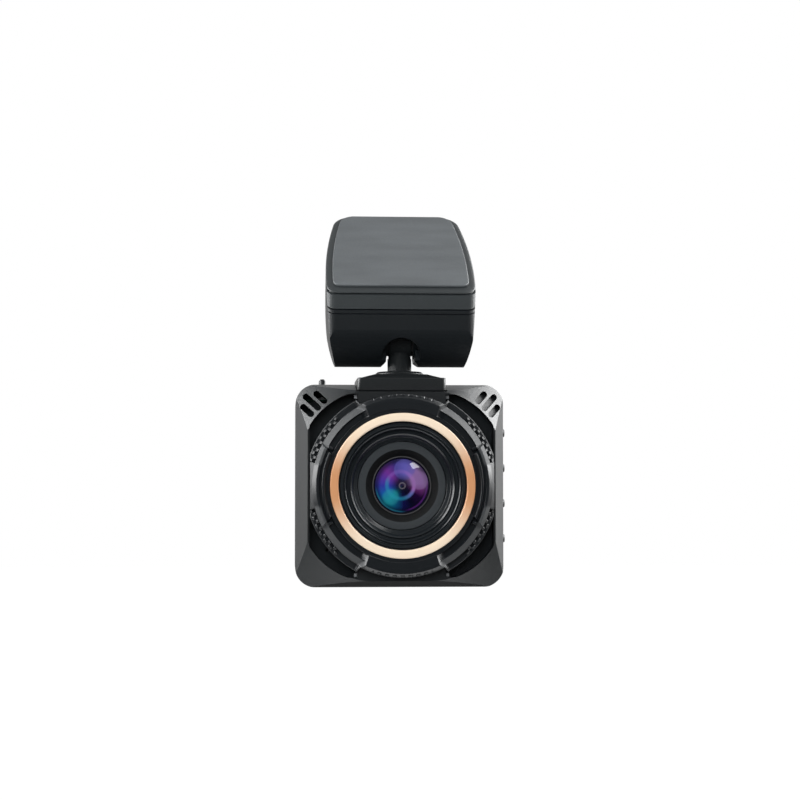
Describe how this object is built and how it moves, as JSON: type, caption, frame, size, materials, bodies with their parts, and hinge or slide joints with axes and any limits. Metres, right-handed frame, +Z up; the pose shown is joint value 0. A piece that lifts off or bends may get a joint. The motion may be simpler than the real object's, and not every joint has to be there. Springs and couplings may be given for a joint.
{
  "type": "dash camera",
  "caption": "Small square dash camera with a copper-ringed lens, hanging from a tilting and swivelling windscreen mount with a sloped adhesive pad.",
  "frame": {"origin": "centre of the adhesive pad's outer face", "axes": "+Z up, the lens looks along -Y, the side keys are on +X, and the windscreen rises towards +Y"},
  "size_m": [0.0528, 0.0346, 0.0956],
  "materials": {
    "housing_plastic": "fine moulded texture",
    "bezel_plastic": "satin moulded",
    "copper_trim": "spun copper colour",
    "hood_black": "matt black",
    "barrel_metal": "matt grey",
    "lens_glass": "coated",
    "head_plastic": "fine moulded texture",
    "pad_foam": "foam tape under a liner",
    "stem_plastic": "satin moulded",
    "key_plastic": "satin moulded",
    "steel": "plain",
    "washer_plastic": "plain",
    "circuit_board": "solder mask",
    "sensor_chip": "plain",
    "tin_plate": "tin plated",
    "cell_foil": "pouch foil",
    "speaker_black": "plain",
    "window_gloss": "polished"
  },
  "bodies": {
    "mount_head": {"adhesive_pad": "pad_foam", "head_top_plate": "head_plastic", "head_band": "head_plastic", "head_lower_shell": "head_plastic", "hinge_bracket": "head_plastic", "bracket_screws": "steel", "hinge_pin": "steel", "friction_washers": "washer_plastic", "head_screws": "steel"},
    "stem": {"stem": "stem_plastic", "swivel_screw": "steel", "swivel_washer": "steel"},
    "cradle": {"cradle": "stem_plastic"},
    "camera": {"front_housing": "housing_plastic", "rear_cover": "housing_plastic", "housing_screws": "steel", "mount_rail": "stem_plastic", "rail_screws": "steel", "lens_bezel": "bezel_plastic", "accent_ring": "copper_trim", "lens_hood": "hood_black", "lens_barrel": "barrel_metal", "front_lens": "lens_glass", "middle_lens": "lens_glass", "rear_lens": "lens_glass", "aperture_stop": "hood_black", "lens_holder": "hood_black", "image_sensor": "sensor_chip", "sensor_board": "circuit_board", "main_board": "circuit_board", "board_screws": "steel", "heat_spreader": "tin_plate", "battery": "cell_foil", "speaker": "speaker_black", "microphone": "sensor_chip", "usb_socket": "tin_plate", "card_socket": "tin_plate", "key_board": "circuit_board", "power_board": "circuit_board", "key_switches": "sensor_chip", "display_panel": "speaker_black", "display_window": "window_gloss"},
    "side_key_1": {"side_key_1": "key_plastic"},
    "side_key_2": {"side_key_2": "key_plastic"},
    "side_key_3": {"side_key_3": "key_plastic"},
    "side_key_4": {"side_key_4": "key_plastic"},
    "power_key": {"power_key": "key_plastic"}
  },
  "joints": [
    {"name": "head_tilt", "type": "hinge", "parent": "mount_head", "child": "stem", "pos_m": [0, -0.0037, -0.02316], "axis": [1, 0, 0], "range_deg": [-45, 30]},
    {"name": "stem_swivel", "type": "hinge", "parent": "stem", "child": "cradle", "pos_m": [0, -0.0037, -0.03186], "axis": [0, 0, 1], "continuous": true},
    {"name": "camera_slide", "type": "slide", "parent": "cradle", "child": "camera", "axis": [0, 1, 0], "range_m": [0, 0.022]},
    {"name": "side_key_1_press", "type": "slide", "parent": "camera", "child": "side_key_1", "axis": [-1, 0, 0], "range_m": [0, 0.00035], "stiffness_N_per_m": 1000, "springref_m": -0.0008},
    {"name": "side_key_2_press", "type": "slide", "parent": "camera", "child": "side_key_2", "axis": [-1, 0, 0], "range_m": [0, 0.00035], "stiffness_N_per_m": 1000, "springref_m": -0.0008},
    {"name": "side_key_3_press", "type": "slide", "parent": "camera", "child": "side_key_3", "axis": [-1, 0, 0], "range_m": [0, 0.00035], "stiffness_N_per_m": 1000, "springref_m": -0.0008},
    {"name": "side_key_4_press", "type": "slide", "parent": "camera", "child": "side_key_4", "axis": [-1, 0, 0], "range_m": [0, 0.00035], "stiffness_N_per_m": 1000, "springref_m": -0.0008},
    {"name": "power_key_press", "type": "slide", "parent": "camera", "child": "power_key", "axis": [0, 0, -1], "range_m": [0, 0.00035], "stiffness_N_per_m": 1000, "springref_m": -0.0008}
  ]
}
